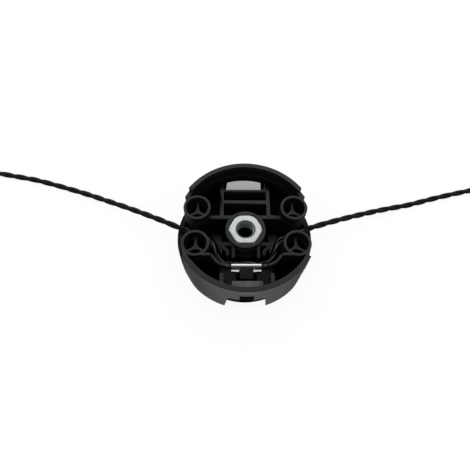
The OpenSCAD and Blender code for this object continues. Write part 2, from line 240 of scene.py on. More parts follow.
def painted_recess_shade(tree, x, y, z):
    """Painted shade where the cup's hollows lie in shadow: low in the cup, between its ledges, on the
    platform, on the sill and in the slit at the tongue's end.
    """
    inside = between(tree, from_axis(tree, x, y), *SHADE_INSIDE_WALL)
    low = between(tree, z, *SHADE_LOW)
    shelf = sums(tree, "MULTIPLY", between(tree, z, *SHADE_SHELF), between(tree, y, *SHADE_FRONT))
    sides = sums(tree, "MULTIPLY", band(tree, z, *SHADE_SIDES), between(tree, y, *BEHIND_RAIL_ENDS))
    under_rim = sums(tree, "MULTIPLY", band(tree, z, *SHADE_UNDER_RIM),
                     between(tree, y, *BEHIND_RAIL_ENDS))
    found = sums(tree, "MAXIMUM", sums(tree, "MAXIMUM", low, shelf),
                 sums(tree, "MAXIMUM", sides, under_rim))
    upward = add(tree, "ShaderNodeSeparateXYZ")
    join(tree, add(tree, "ShaderNodeNewGeometry").outputs["True Normal"], upward.inputs[0])
    sill = sums(tree, "MULTIPLY", between(tree, upward.outputs["Z"], *LEVEL_ENOUGH),
                between(tree, z, *SHADE_SILL))
    slit = sums(tree, "MULTIPLY", between(tree, sums(tree, "ABSOLUTE", x), *SHADE_SLIT_X),
                sums(tree, "MULTIPLY", between(tree, y, *SHADE_SLIT_Y),
                     between(tree, z, *SHADE_SLIT_Z)))
    deep = sums(tree, "MAXIMUM", sums(tree, "MULTIPLY", slit, NO_SHINE), sill)
    return sums(tree, "MAXIMUM", sums(tree, "MULTIPLY", inside, found), deep)


def on_spokes(tree, x, y, z):
    """Where a painted sheen lies on the spokes in the sockets."""
    shift = sums(tree, "MULTIPLY", sums(tree, "LESS_THAN", y, 0), FRONT_BOSS_SHIFT)
    centre = sums(tree, "ADD", shift, SOCKET_AT[0])
    across = sums(tree, "SUBTRACT", sums(tree, "ABSOLUTE", x), centre)
    along = sums(tree, "SUBTRACT", sums(tree, "ABSOLUTE", y), SOCKET_AT[1])
    near = between(tree, from_axis(tree, across, along), *SPOKES_WITHIN)
    return sums(tree, "MULTIPLY", near, band(tree, z, *SPOKES_HEIGHT))


def on_guides(tree, x, y, z):
    """Where a painted sheen lies on the tops of the guide blocks and of the sloping walls."""
    wide = sums(tree, "ABSOLUTE", x)
    upward = add(tree, "ShaderNodeSeparateXYZ")
    join(tree, add(tree, "ShaderNodeNewGeometry").outputs["True Normal"], upward.inputs[0])
    level = between(tree, upward.outputs["Z"], *LEVEL_ENOUGH)
    blocks = sums(tree, "MULTIPLY", band(tree, wide, BLOCKS_FROM_X, BLOCKS_TO_X),
                  band(tree, z, *BLOCKS_HEIGHT))
    blocks = sums(tree, "MULTIPLY", blocks, between(tree, y, *BLOCKS_BEHIND))
    blocks = sums(tree, "MULTIPLY", blocks, level)
    walls = sums(tree, "MULTIPLY", band(tree, wide, WALLS_FROM_X, WALLS_TO_X),
                 band(tree, y, WALLS_BEFORE, WALLS_BEHIND))
    walls = sums(tree, "MULTIPLY", walls, band(tree, z, *WALLS_HEIGHT))
    walls = sums(tree, "MULTIPLY", walls, band(tree, upward.outputs["Z"], *SLOPED_ENOUGH))
    return sums(tree, "MAXIMUM", blocks, walls)


def painted_pad_highlight(tree, x, y, z):
    """Where a painted highlight lies on the front pad, brightest near its middle."""
    high = band(tree, z, *PAD_HEIGHT)
    wide = band(tree, x, PAD_LEFT, PAD_RIGHT)
    aside = sums(tree, "ABSOLUTE", sums(tree, "SUBTRACT", x, PAD_BRIGHTEST_AT))
    most = sums(tree, "MULTIPLY_ADD", between(tree, aside, PAD_BRIGHT_HALF, 0), 0.6, 0.9)
    wear_and_highlight = sums(tree, "MULTIPLY", sums(tree, "MULTIPLY", high, wide), most)
    return sums(tree, "MULTIPLY", wear_and_highlight, between(tree, y, *PAD_FRONT))


def black_plastic():
    """Moulded black plastic: fine spark texture, slow flow marks, paler rubbed edges, painted shade in the
    hollows, a painted highlight on the front pad and a painted sheen on the spokes and guide tops.
    """
    material, tree, shader = new_material("moulded_black_plastic")
    place = add(tree, "ShaderNodeTexCoord").outputs["Object"]
    grain = noise(tree, place, 2600, 4, 0.6)
    flow = noise(tree, stretch(tree, place, (1, 1, 0.35)), 55, 3, 0.55)
    specks = noise(tree, place, 900, 2, 0.7)
    dust = ramp(tree, specks, [(0.0, 0.0), (0.66, 0.0), (0.80, 1.0)])
    edge = add(tree, "ShaderNodeNewGeometry").outputs["Pointiness"]
    rubbed = ramp(tree, edge, [(0.0, 0.0), (0.52, 0.0), (0.60, 1.0)])
    tone = ramp(tree, flow, [(0.25, (0.0060, 0.0062, 0.0064)), (0.75, (0.0090, 0.0092, 0.0095))])
    wear_and_highlight = add(tree, "ShaderNodeMix", data_type="RGBA", blend_type="MIX")
    join(tree, tone, wear_and_highlight.inputs["A"])
    wear_and_highlight.inputs["B"].default_value = (0.016, 0.0165, 0.017, 1)
    share = sums(tree, "MULTIPLY_ADD", rubbed, 0.35, sums(tree, "MULTIPLY", dust, 0.10))
    join(tree, share, wear_and_highlight.inputs["Factor"])
    parts = add(tree, "ShaderNodeSeparateXYZ")
    join(tree, place, parts.inputs[0])
    recess_shade = painted_recess_shade(tree, *parts.outputs[:3])
    # Painted shade: the hollows are coloured near black.
    shaded = add(tree, "ShaderNodeMix", data_type="RGBA", blend_type="MIX")
    join(tree, wear_and_highlight.outputs["Result"], shaded.inputs["A"])
    shaded.inputs["B"].default_value = (*PAINTED_SHADE_TONE, 1)
    join(tree, sums(tree, "MULTIPLY", recess_shade, 0.8), shaded.inputs["Factor"])
    # Painted highlight: the front pad is coloured pale.
    pale = add(tree, "ShaderNodeMix", data_type="RGBA", blend_type="MIX")
    join(tree, shaded.outputs["Result"], pale.inputs["A"])
    pale.inputs["B"].default_value = (*PAD_HIGHLIGHT_TONE, 1)
    pad_light = painted_pad_highlight(tree, *parts.outputs[:3])
    join(tree, sums(tree, "MULTIPLY", pad_light, sums(tree, "MULTIPLY_ADD", specks, 0.6, 0.5)),
         pale.inputs["Factor"])
    # Painted sheen: spokes and guide tops are coloured paler.
    sheen_painted = add(tree, "ShaderNodeMix", data_type="RGBA", blend_type="MIX")
    join(tree, pale.outputs["Result"], sheen_painted.inputs["A"])
    sheen_painted.inputs["B"].default_value = (*PAINTED_SHEEN_TONE, 1)
    spokes = sums(tree, "MULTIPLY", on_spokes(tree, *parts.outputs[:3]), SPOKE_SHEEN)
    join(tree, sums(tree, "MAXIMUM", spokes, on_guides(tree, *parts.outputs[:3])),
         sheen_painted.inputs["Factor"])
    join(tree, sheen_painted.outputs["Result"], shader.inputs["Base Color"])
    gloss = sums(tree, "MULTIPLY_ADD", flow, 0.16, 0.34)
    join(tree, sums(tree, "MULTIPLY_ADD", grain, 0.08, gloss), shader.inputs["Roughness"])
    # Painted shade also lowers the shine in the hollows.
    join(tree, sums(tree, "MULTIPLY_ADD", recess_shade, -0.32, 0.5), shader.inputs["Specular IOR Level"])
    shaped = bump(tree, flow, 0.10, 0.0002)
    join(tree, bump(tree, grain, 0.22, 0.00005, shaped), shader.inputs["Normal"])
    return material


# Painted shade: the thread is coloured darker down the bore, below this height.
BORE_WITHIN = (5.5 * MM, 5.2 * MM)
BORE_SHADE_BELOW = (27.4 * MM, 27.0 * MM)
BORE_SHADE_TONE = (0.57, 0.62, 0.61)


def zinc_plate():
    """Zinc plated steel: blue-white, with fine tumbling scratches, cloudy passivation and painted shade down
    the bore.
    """
    material, tree, shader = new_material("zinc_plated_steel")
    place = add(tree, "ShaderNodeTexCoord").outputs["Object"]
    cloud = noise(tree, place, 420, 4, 0.55)
    scratch = noise(tree, stretch(tree, place, (1, 9, 4)), 700, 3, 0.6)
    tone = ramp(tree, cloud, [(0.30, (0.66, 0.71, 0.705)), (0.70, (0.79, 0.835, 0.83))])
    parts = add(tree, "ShaderNodeSeparateXYZ")
    join(tree, place, parts.inputs[0])
    in_bore = sums(tree, "MULTIPLY", between(tree, from_axis(tree, *parts.outputs[:2]), *BORE_WITHIN),
                   between(tree, parts.outputs["Z"], *BORE_SHADE_BELOW))
    # Painted shade down the bore.
    bore_shade = add(tree, "ShaderNodeMix", data_type="RGBA", blend_type="MULTIPLY")
    join(tree, tone, bore_shade.inputs["A"])
    bore_shade.inputs["B"].default_value = (*BORE_SHADE_TONE, 1)
    join(tree, in_bore, bore_shade.inputs["Factor"])
    join(tree, bore_shade.outputs["Result"], shader.inputs["Base Color"])
    shader.inputs["Metallic"].default_value = 0.92
    join(tree, sums(tree, "MULTIPLY_ADD", scratch, 0.20, 0.18), shader.inputs["Roughness"])
    shaped = bump(tree, cloud, 0.10, 0.00004)
    join(tree, bump(tree, scratch, 0.25, 0.00002, shaped), shader.inputs["Normal"])
    return material


def bright_sheet():
    """Bright rolled sheet: grain along its length, and a little warm tint in random stains."""
    material, tree, shader = new_material("bright_rolled_sheet")
    place = add(tree, "ShaderNodeTexCoord").outputs["Object"]
    grain = noise(tree, stretch(tree, place, (0.05, 1, 1)), 3200, 3, 0.6)
    stain = noise(tree, place, 300, 3, 0.5)
    tone = ramp(tree, stain, [(0.30, (0.74, 0.72, 0.67)), (0.72, (0.90, 0.89, 0.86))])
    join(tree, tone, shader.inputs["Base Color"])
    shader.inputs["Metallic"].default_value = 1.0
    join(tree, sums(tree, "MULTIPLY_ADD", grain, 0.16, 0.16), shader.inputs["Roughness"])
    join(tree, bump(tree, grain, 0.20, 0.00002), shader.inputs["Normal"])
    return material


def black_nylon():
    """Extruded black nylon: drawn fibre lines that follow the twist."""
    material, tree, shader = new_material("twisted_black_nylon")
    place = add(tree, "ShaderNodeTexCoord").outputs["Object"]
    strand = add(tree, "ShaderNodeAttribute", attribute_name="strand").outputs["Vector"]
    fibre = noise(tree, stretch(tree, strand, (60, 3.2, 1)), 2.2, 3, 0.6)
    cloud = noise(tree, place, 260, 3, 0.5)
    tone = ramp(tree, cloud, [(0.30, (0.0028, 0.0028, 0.0030)), (0.75, (0.0060, 0.0062, 0.0066))])
    join(tree, tone, shader.inputs["Base Color"])
    parts = add(tree, "ShaderNodeSeparateXYZ")
    join(tree, place, parts.inputs[0])
    polished = between(tree, from_axis(tree, *parts.outputs[:2]), *POLISHED_WITHIN)
    matt = sums(tree, "MULTIPLY_ADD", fibre, 0.30, 0.36)
    join(tree, sums(tree, "MULTIPLY_ADD", polished, -0.2, matt), shader.inputs["Roughness"])
    join(tree, sums(tree, "MULTIPLY_ADD", polished, 0.6, 0.25), shader.inputs["Specular IOR Level"])
    join(tree, bump(tree, fibre, 0.35, 0.00008), shader.inputs["Normal"])
    return material


def outside(tree, place, half, centre_y):
    """Nought inside an ellipse on the floor and one outside it, with a soft edge."""
    away = stretch(tree, place, (1 / half[0], 1 / half[1], 0), shift=(0, -centre_y / half[1], 0))
    reach = add(tree, "ShaderNodeVectorMath", operation="LENGTH")
    join(tree, away, reach.inputs[0])
    edge = add(tree, "ShaderNodeMapRange", interpolation_type="SMOOTHSTEP",
               values={"From Min": 1 - FLOOR_EDGE, "From Max": 1 + FLOOR_EDGE / 2})
    join(tree, reach.outputs["Value"], edge.inputs["Value"])
    return edge.outputs["Result"]


def pale_floor():
    """White card: it stays white to the camera, keeps the shadow, and mirrors less at the sides; under and
    round the housing's foot it is coloured darker, a painted shadow.
    """
    material, tree, shader = new_material("pale_card")
    place = add(tree, "ShaderNodeTexCoord").outputs["Object"]
    mottle = noise(tree, place, 40, 3, 0.5)
    card = ramp(tree, mottle, [(0.0, 0.90), (1.0, 0.93)])
    far = outside(tree, place, FOOT_SHADE, FOOT_SHADE_Y)
    # Painted shadow: inside the foot's ellipse the card is coloured darker.
    shade = add(tree, "ShaderNodeMix", data_type="RGBA", blend_type="MIX")
    join(tree, far, shade.inputs["Factor"])
    shade.inputs["A"].default_value = (FOOT_SHADOW_TONE, FOOT_SHADOW_TONE, FOOT_SHADOW_TONE, 1)
    join(tree, card, shade.inputs["B"])
    join(tree, shade.outputs["Result"], shader.inputs["Base Color"])
    shader.inputs["Roughness"].default_value = 0.9
    shader.inputs["Specular IOR Level"].default_value = 0.1
    rays = add(tree, "ShaderNodeLightPath").outputs
    parts = add(tree, "ShaderNodeSeparateXYZ")
    join(tree, place, parts.inputs[0])
    front = add(tree, "ShaderNodeMapRange",
                values={"From Min": MIRRORED_FROM_Y, "From Max": MIRRORED_TO_Y,
                        "To Min": MIRRORED_SIDES, "To Max": MIRRORED_FRONT})
    join(tree, parts.outputs["Y"], front.inputs["Value"])
    seen = sums(tree, "MULTIPLY", rays["Is Camera Ray"], far)
    mirrored = sums(tree, "MULTIPLY", rays["Is Glossy Ray"], outside(tree, place, FOOT_ROUND, 0))
    strength = sums(tree, "ADD", sums(tree, "MULTIPLY", rays["Is Camera Ray"], FLOOR_WHITE),
                    sums(tree, "MULTIPLY", rays["Is Glossy Ray"], front.outputs["Result"]))
    glow = add(tree, "ShaderNodeEmission", values={"Color": (1, 1, 1, 1)})
    join(tree, strength, glow.inputs["Strength"])
    mix = add(tree, "ShaderNodeMixShader")
    share = sums(tree, "ADD", sums(tree, "MULTIPLY", seen, FLOOR_GLOW), mirrored)
    join(tree, share, mix.inputs["Fac"])
    join(tree, shader.outputs["BSDF"], mix.inputs[1])
    join(tree, glow.outputs["Emission"], mix.inputs[2])
    out = next(n for n in tree.nodes if n.bl_idname == "ShaderNodeOutputMaterial")
    join(tree, mix.outputs["Shader"], out.inputs["Surface"])
    return material


# Mesh helpers

def mesh_object(name, vertices, faces=(), edges=()):
    mesh = bpy.data.meshes.new(name)
    mesh.from_pydata(vertices, edges, faces)
    mesh.validate()
    piece = bpy.data.objects.new(name, mesh)
    scene.collection.objects.link(piece)
    return piece


def smooth_by_angle(piece, degrees):
    piece.data.polygons.foreach_set("use_smooth", [True] * len(piece.data.polygons))
    piece.data.set_sharp_from_angle(angle=math.radians(degrees))


def point_outwards(piece):
    shape = bmesh.new()
    shape.from_mesh(piece.data)
    bmesh.ops.remove_doubles(shape, verts=shape.verts, dist=1e-7)
    bmesh.ops.recalc_face_normals(shape, faces=shape.faces)
    shape.to_mesh(piece.data)
    shape.free()


def drop_loose_points(piece):
    shape = bmesh.new()
    shape.from_mesh(piece.data)
    loose = [v for v in shape.verts if not v.link_faces]
    bmesh.ops.delete(shape, geom=loose, context="VERTS")
    shape.to_mesh(piece.data)
    shape.free()


def baked(piece, name):
    """What the piece's modifiers make, as a plain mesh object; the piece itself goes."""
    graph = bpy.context.evaluated_depsgraph_get()
    mesh = bpy.data.meshes.new_from_object(piece.evaluated_get(graph))
    result = bpy.data.objects.new(name, mesh)
    scene.collection.objects.link(result)
    bpy.data.objects.remove(piece)
    return result


def curve_points(points, steps):
    """The smooth curve through the points, as part.scad draws it, in metres."""
    p = [Vector(q) * MM for q in points]
    last = len(p) - 1
    found = []
    for i in range(last):
        a, b, c, d = p[max(i - 1, 0)], p[i], p[i + 1], p[min(i + 2, last)]
        for k in range(steps):
            t = k / steps
            found.append(0.5 * (2 * b + (c - a) * t + (2 * a - 5 * b + 4 * c - d) * t * t
                                + (3 * b - a - 3 * c + d) * t ** 3))
    return found + [p[last]]


def lengths_along(points):
    far = [0.0]
    for a, b in zip(points, points[1:]):
        far.append(far[-1] + (b - a).length)
    return far


# The cutting line

def twist_tree():
    """Geometry Nodes: a two-lobed section swept along the path and turned as it goes."""
    tree = bpy.data.node_groups.new("twisted_line", "GeometryNodeTree")
    face = tree.interface
    face.new_socket("Geometry", in_out="INPUT", socket_type="NodeSocketGeometry")
    for name in ("Lobe Radius", "Lobe Offset", "Groove Depth", "Groove Width", "Pitch", "Phase"):
        face.new_socket(name, in_out="INPUT", socket_type="NodeSocketFloat")
    face.new_socket("Material", in_out="INPUT", socket_type="NodeSocketMaterial")
    face.new_socket("Geometry", in_out="OUTPUT", socket_type="NodeSocketGeometry")
    given = add(tree, "NodeGroupInput").outputs
    along = add(tree, "GeometryNodeInputNamedAttribute", data_type="FLOAT",
                values={"Name": "along"}).outputs["Attribute"]

    path = add(tree, "GeometryNodeMeshToCurve")
    join(tree, given["Geometry"], path.inputs["Mesh"])
    upright = add(tree, "GeometryNodeSetCurveNormal")
    upright.mode = "Z_UP"
    join(tree, path.outputs["Curve"], upright.inputs["Curve"])
    tilted = add(tree, "GeometryNodeSetCurveTilt")
    join(tree, upright.outputs["Curve"], tilted.inputs["Curve"])
    turns = sums(tree, "ADD", sums(tree, "DIVIDE", along, given["Pitch"]), given["Phase"])
    join(tree, sums(tree, "MULTIPLY", turns, 2 * math.pi), tilted.inputs["Tilt"])

    ring = add(tree, "GeometryNodeCurvePrimitiveCircle", values={"Resolution": 36, "Radius": 1})
    spot = add(tree, "GeometryNodeInputPosition").outputs["Position"]
    parts = add(tree, "ShaderNodeSeparateXYZ")
    join(tree, spot, parts.inputs[0])
    x, y = parts.outputs["X"], parts.outputs["Y"]
    square = sums(tree, "MULTIPLY", given["Lobe Radius"], given["Lobe Radius"])
    side = sums(tree, "MULTIPLY", given["Lobe Offset"], y)
    root = sums(tree, "SQRT", sums(tree, "SUBTRACT", square, sums(tree, "MULTIPLY", side, side)))
    reach = sums(tree, "MULTIPLY", given["Lobe Offset"], sums(tree, "ABSOLUTE", x))
    across = sums(tree, "DIVIDE", x, given["Groove Width"])
    valley = sums(tree, "EXPONENT", sums(tree, "MULTIPLY", sums(tree, "MULTIPLY", across, across), -1))
    valley = sums(tree, "MULTIPLY", valley, given["Groove Depth"])
    radius = sums(tree, "SUBTRACT", sums(tree, "ADD", reach, root), valley)
    lobes = add(tree, "ShaderNodeVectorMath", operation="SCALE")
    join(tree, spot, lobes.inputs[0])
    join(tree, radius, lobes.inputs["Scale"])
    section = add(tree, "GeometryNodeSetPosition")
    join(tree, ring.outputs["Curve"], section.inputs["Geometry"])
    join(tree, lobes.outputs["Vector"], section.inputs["Position"])
    around = add(tree, "GeometryNodeStoreNamedAttribute", data_type="FLOAT", domain="POINT",
                 values={"Name": "around"})
    join(tree, section.outputs["Geometry"], around.inputs["Geometry"])
    join(tree, add(tree, "GeometryNodeSplineParameter").outputs["Factor"],
         around.inputs["Value"])

    swept = add(tree, "GeometryNodeCurveToMesh", values={"Fill Caps": True})
    join(tree, tilted.outputs["Curve"], swept.inputs["Curve"])
    join(tree, around.outputs["Geometry"], swept.inputs["Profile Curve"])
    both = add(tree, "ShaderNodeCombineXYZ")
    join(tree, along, both.inputs["X"])
    share = add(tree, "GeometryNodeInputNamedAttribute", data_type="FLOAT",
                values={"Name": "around"}).outputs["Attribute"]
    join(tree, sums(tree, "SINE", sums(tree, "MULTIPLY", share, 2 * math.pi)), both.inputs["Y"])
    join(tree, sums(tree, "COSINE", sums(tree, "MULTIPLY", share, 2 * math.pi)), both.inputs["Z"])
    strand = add(tree, "GeometryNodeStoreNamedAttribute", data_type="FLOAT_VECTOR",
                 domain="POINT", values={"Name": "strand"})
    join(tree, swept.outputs["Mesh"], strand.inputs["Geometry"])
    join(tree, both.outputs[0], strand.inputs["Value"])
    real = add(tree, "GeometryNodeRealizeInstances")
    join(tree, strand.outputs["Geometry"], real.inputs["Geometry"])
    coated = add(tree, "GeometryNodeSetMaterial")
    join(tree, real.outputs["Geometry"], coated.inputs["Geometry"])
    join(tree, given["Material"], coated.inputs["Material"])
    out = add(tree, "NodeGroupOutput")
    join(tree, coated.outputs["Geometry"], out.inputs["Geometry"])
    return tree


def give(modifier, **values):
    """Sets a Geometry Nodes modifier's inputs by the names in its tree."""
    for item in modifier.node_group.interface.items_tree:
        if item.in_out == "INPUT" and item.name.replace(" ", "_") in values:
            modifier[item.identifier] = values[item.name.replace(" ", "_")]


def swept_line(material, points):
    """The whole line as one mesh, with the distance along it kept at each vertex."""
    route = mesh_object("line_route", points, edges=[(i, i + 1) for i in range(len(points) - 1)])
    field = route.data.attributes.new("along", "FLOAT", "POINT")
    field.data.foreach_set("value", lengths_along(points))
    modifier = route.modifiers.new("twist", "NODES")
    modifier.node_group = twist_tree()
    give(modifier, Lobe_Radius=LOBE_RADIUS, Lobe_Offset=LOBE_OFFSET, Groove_Depth=GROOVE_DEPTH,
         Groove_Width=GROOVE_WIDTH, Pitch=LINE_PITCH, Phase=LINE_PHASE, Material=material)
    piece = baked(route, "line_swept")
    point_outwards(piece)
    return piece


def line_stretch(whole, name, start, end):
    """The part of the swept line between two distances along it, closed at both ends."""
    shape = bmesh.new()
    shape.from_mesh(whole.data)
    along = shape.verts.layers.float["along"]
    outside = [f for f in shape.faces
               if not start < sum(v[along] for v in f.verts) / len(f.verts) < end]
    bmesh.ops.delete(shape, geom=outside, context="FACES")
    bmesh.ops.holes_fill(shape, edges=[e for e in shape.edges if e.is_boundary], sides=0)
    bmesh.ops.recalc_face_normals(shape, faces=shape.faces)
    mesh = whole.data.copy()
    shape.to_mesh(mesh)
    shape.free()
    piece = bpy.data.objects.new(name, mesh)
    scene.collection.objects.link(piece)
    smooth_by_angle(piece, 50)
    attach(piece, "root")
    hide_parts("trimmer_line")
    return piece


def cutting_line(material):
    """The whole route in one lay, cut into the held middle and its two free tails."""
    middle = [(-x, y, z) for x, y, z in HALF_ROUTE[:0:-1]] + HALF_ROUTE
    points = curve_points(LEFT_TAIL[::-1] + middle + RIGHT_TAIL, LINE_STEPS)
    first = (len(LEFT_TAIL) - 1) * LINE_STEPS
    second = (len(LEFT_TAIL) + len(middle)) * LINE_STEPS
    far = lengths_along(points)
    whole = swept_line(material, points)
    line_stretch(whole, "line_held", far[first], far[second])
    left = line_stretch(whole, "line_tail_left", -1, far[first])
    right = line_stretch(whole, "line_tail_right", far[second], far[-1] + 1)
    bpy.data.objects.remove(whole)


# The hex nut

NUT_FLATS = 16.75 * MM
NUT_HEIGHT = 8 * MM
NUT_BORE = 4.35 * MM
NUT_GROOVE = 0.6 * MM
NUT_SINK = 5.6 * MM
NUT_FACE = 8.8 * MM
NUT_ROUNDING = 0.15 * MM
THREAD_PITCH = 1.25 * MM
NUT_COLUMNS = 96
THREAD_ROWS = 96


def nut_piece(material):
    """The nut as one closed skin: chamfered hexagon outside, left-hand thread inside."""
    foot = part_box("hex_nut")[0].z
    slope = math.tan(math.radians(30))
    rounding = NUT_ROUNDING
    vertices, faces = [], []
    rings = []
    for column in range(NUT_COLUMNS):
        angle = 2 * math.pi * column / NUT_COLUMNS
        inside_flat = (angle + math.pi / 6) % (math.pi / 3) - math.pi / 6
        wide = NUT_FLATS / 2 / math.cos(math.pi / 6 - abs(inside_flat))
        face = min(NUT_FACE, wide - 2 * rounding)
        drop = max(wide - NUT_FACE, 0) * slope
        skin = [(NUT_SINK, NUT_HEIGHT), (NUT_SINK + rounding, NUT_HEIGHT),
                (face - rounding, NUT_HEIGHT), (face, NUT_HEIGHT - rounding * slope),
                (wide, NUT_HEIGHT - drop - rounding), (wide, NUT_HEIGHT / 2),
                (wide, drop + rounding), (face, rounding * slope), (face - rounding, 0),
                (NUT_SINK + rounding, 0), (NUT_SINK, 0)]
        for row in range(1, THREAD_ROWS):
            height = NUT_HEIGHT * row / THREAD_ROWS
            turn = (height / THREAD_PITCH + angle / (2 * math.pi)) % 1
            groove = NUT_GROOVE * min(1, max(0, 1.35 - abs(turn - 0.5) * 4) / 1.2)
            sink = NUT_SINK - min(height, NUT_HEIGHT - height)
            skin.append((max(NUT_BORE + groove, sink), height))
        rings.append(len(skin))
        vertices += [(r * math.cos(angle), r * math.sin(angle), foot + z) for r, z in skin]
    size = rings[0]
    for column in range(NUT_COLUMNS):
        here, there = column * size, (column + 1) % NUT_COLUMNS * size
        for k in range(size):
            n = (k + 1) % size
            faces.append((here + k, here + n, there + n, there + k))
    piece = mesh_object("hex_nut_threaded", vertices, faces)
    point_outwards(piece)
    smooth_by_angle(piece, 28)
    piece.data.materials.append(material)
    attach(piece, "root")
    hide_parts("hex_nut")


# The line clip

CLIP_HALF = 8 * MM
CLIP_SHEET = 0.7 * MM
CLIP_NOTCH_HALF = 3.8 * MM
CLIP_NOTCH_FROM = -22.75 * MM
CLIP_ROUNDING = 0.12 * MM
CLIP_STEPS = 5
CLIP_SIDE = [(-19.95, 14.6), (-19.95, 18.2), (-19.95, 20.3), (-19.98, 21.1), (-20.12, 21.75),
             (-20.42, 22.4), (-20.95, 22.7), (-21.5, 22.72), (-21.98, 22.45), (-22.35, 21.9),
             (-22.55, 21.4), (-22.8, 21.07), (-23.15, 20.94), (-23.6, 20.95), (-24.1, 21.02)]


def clip_piece(material):
    """Strip folded over its wall, cut back in front where the tongue comes through."""
    side = curve_points([(0, y, z) for y, z in CLIP_SIDE], CLIP_STEPS)
    last = len(side) - 1
    columns = [-CLIP_HALF, -CLIP_NOTCH_HALF, CLIP_NOTCH_HALF, CLIP_HALF]
    vertices = []
    for i, spot in enumerate(side):
        run = side[min(i + 1, last)] - side[max(i - 1, 0)]
        out = Vector((0, -run.z, run.y)).normalized() * CLIP_SHEET / 2
        for x in columns:
            across = Vector((x, 0, 0))
            vertices += [across + spot + out, across + spot - out]

    def number(i, j, skin):
        return (i * len(columns) + j) * 2 + skin

    def solid(i, j):
        inside = 0 <= i < last and 0 <= j < len(columns) - 1
        return inside and not (j == 1 and side[i + 1].y < CLIP_NOTCH_FROM)

    faces = []
    for i in range(last):
        for j in range(len(columns) - 1):
            if not solid(i, j):
                continue
            for skin in (0, 1):
                faces.append([number(i, j, skin), number(i + 1, j, skin),
                              number(i + 1, j + 1, skin), number(i, j + 1, skin)])
            for (a, b), (di, dj) in ((((i, j), (i, j + 1)), (-1, 0)),
                                     (((i + 1, j), (i + 1, j + 1)), (1, 0)),
                                     (((i, j), (i + 1, j)), (0, -1)),
                                     (((i, j + 1), (i + 1, j + 1)), (0, 1))):
                if not solid(i + di, j + dj):
                    faces.append([number(*a, 0), number(*b, 0), number(*b, 1), number(*a, 1)])
    strip = mesh_object("clip_strip", vertices, faces)
    point_outwards(strip)
    drop_loose_points(strip)
    strip.data.materials.append(material)
    soften = strip.modifiers.new("rounding", "BEVEL")
    soften.width = CLIP_ROUNDING
    soften.segments = 3
    soften.limit_method = "ANGLE"
    soften.angle_limit = math.radians(50)
    piece = baked(strip, "line_clip_folded")
    smooth_by_angle(piece, 32)
    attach(piece, "root")
    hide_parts("line_clip")


# The housing

EDGE_RADIUS = 0.2 * MM
EDGE_SHARP = math.radians(40)
EDGE_SHORT = 0.4 * MM
FLAT_WITHIN = math.radians(0.5)
SOCKET_REACH = 6.2 * MM
SPOKE_TOP = 24 * MM
BOSS_RADIUS = 7.5 * MM
BOSS_TOP = 29 * MM
SOCKET_RADIUS = 5.7 * MM
SOCKET_MOUTH = 6.05 * MM
SIDE_WALL_TOP = 15.5 * MM
SILL_TOP = 11.8 * MM
STUB_TOP = 27.2 * MM
WALL_FROM = 34 * MM
GUIDE_TOP = 22.4 * MM
GUIDE_FROM_X = 11.5 * MM
GUIDE_BEHIND_Y = -13 * MM
GUIDE_FOOT = 2.6 * MM
GUIDE_HALF = 0.75 * MM
GUIDE_STEPS = 3
GUIDE_RUN = [(24.6, -17.0, 28.97), (22.6, -17.2, 28.97), (20.2, -17.1, 28.95), (18.6, -17.45, 28.2),
             (17.2, -18.6, 27.1), (15.9, -19.9, 26.0), (14.6, -20.55, 25.3), (12.8, -21.0, 24.3),
             (10.9, -21.1, 23.2), (9.0, -21.05, 22.4)]
HUB_TOP_OVER = 20 * MM
TONGUE_HALF = 3.6 * MM
TONGUE_END = -29.1 * MM
TONGUE_CUT_BACK = 0.1 * MM
POCKET_CORNER = 17 / 2 / math.cos(math.radians(30)) * MM
POCKET_OPENS = 1.035
SPOKE_TURNS = (90, 210, 330)
SPOKE_HALF = 0.66 * MM
SPOKE_LEVEL = 23.56 * MM
SPOKE_END = 5.9 * MM
SPOKE_ROOT = 1.9 * MM
SPOKE_FILLET = 1.25 * MM
FOOT_DRAWN_IN = 0.5 * MM
OUTER_FACE_FROM = 37 * MM
FOOT_DRAWN_FROM = (math.radians(8), math.radians(20))
FOOT_DRAWN_TO = (math.radians(44), math.radians(34))
NEAR = 0.03 * MM


def side_of(value):
    return math.copysign(1, value)


def socket_centre(x, y):
    """The centre of the socket in that quarter; the front pair stands a little further out."""
    shift = FRONT_BOSS_SHIFT if y < 0 else 0
    return side_of(x) * (SOCKET_AT[0] + shift), side_of(y) * SOCKET_AT[1]


def in_socket(vertex):
    """Says whether the vertex is on a socket's spokes or the ledge around them."""
    x, y, z = vertex.co
    centre = socket_centre(x, y)
    return math.hypot(x - centre[0], y - centre[1]) < SOCKET_REACH and z < SPOKE_TOP


def drawn_in(turn):
    """How far the wall's foot stands in, by the turn from the crosswise axis to the front."""
    rise = (turn - FOOT_DRAWN_FROM[0]) / (FOOT_DRAWN_FROM[1] - FOOT_DRAWN_FROM[0])
    fall = (FOOT_DRAWN_TO[0] - turn) / (FOOT_DRAWN_TO[0] - FOOT_DRAWN_TO[1])
    return FOOT_DRAWN_IN * max(0, min(1, rise, fall))


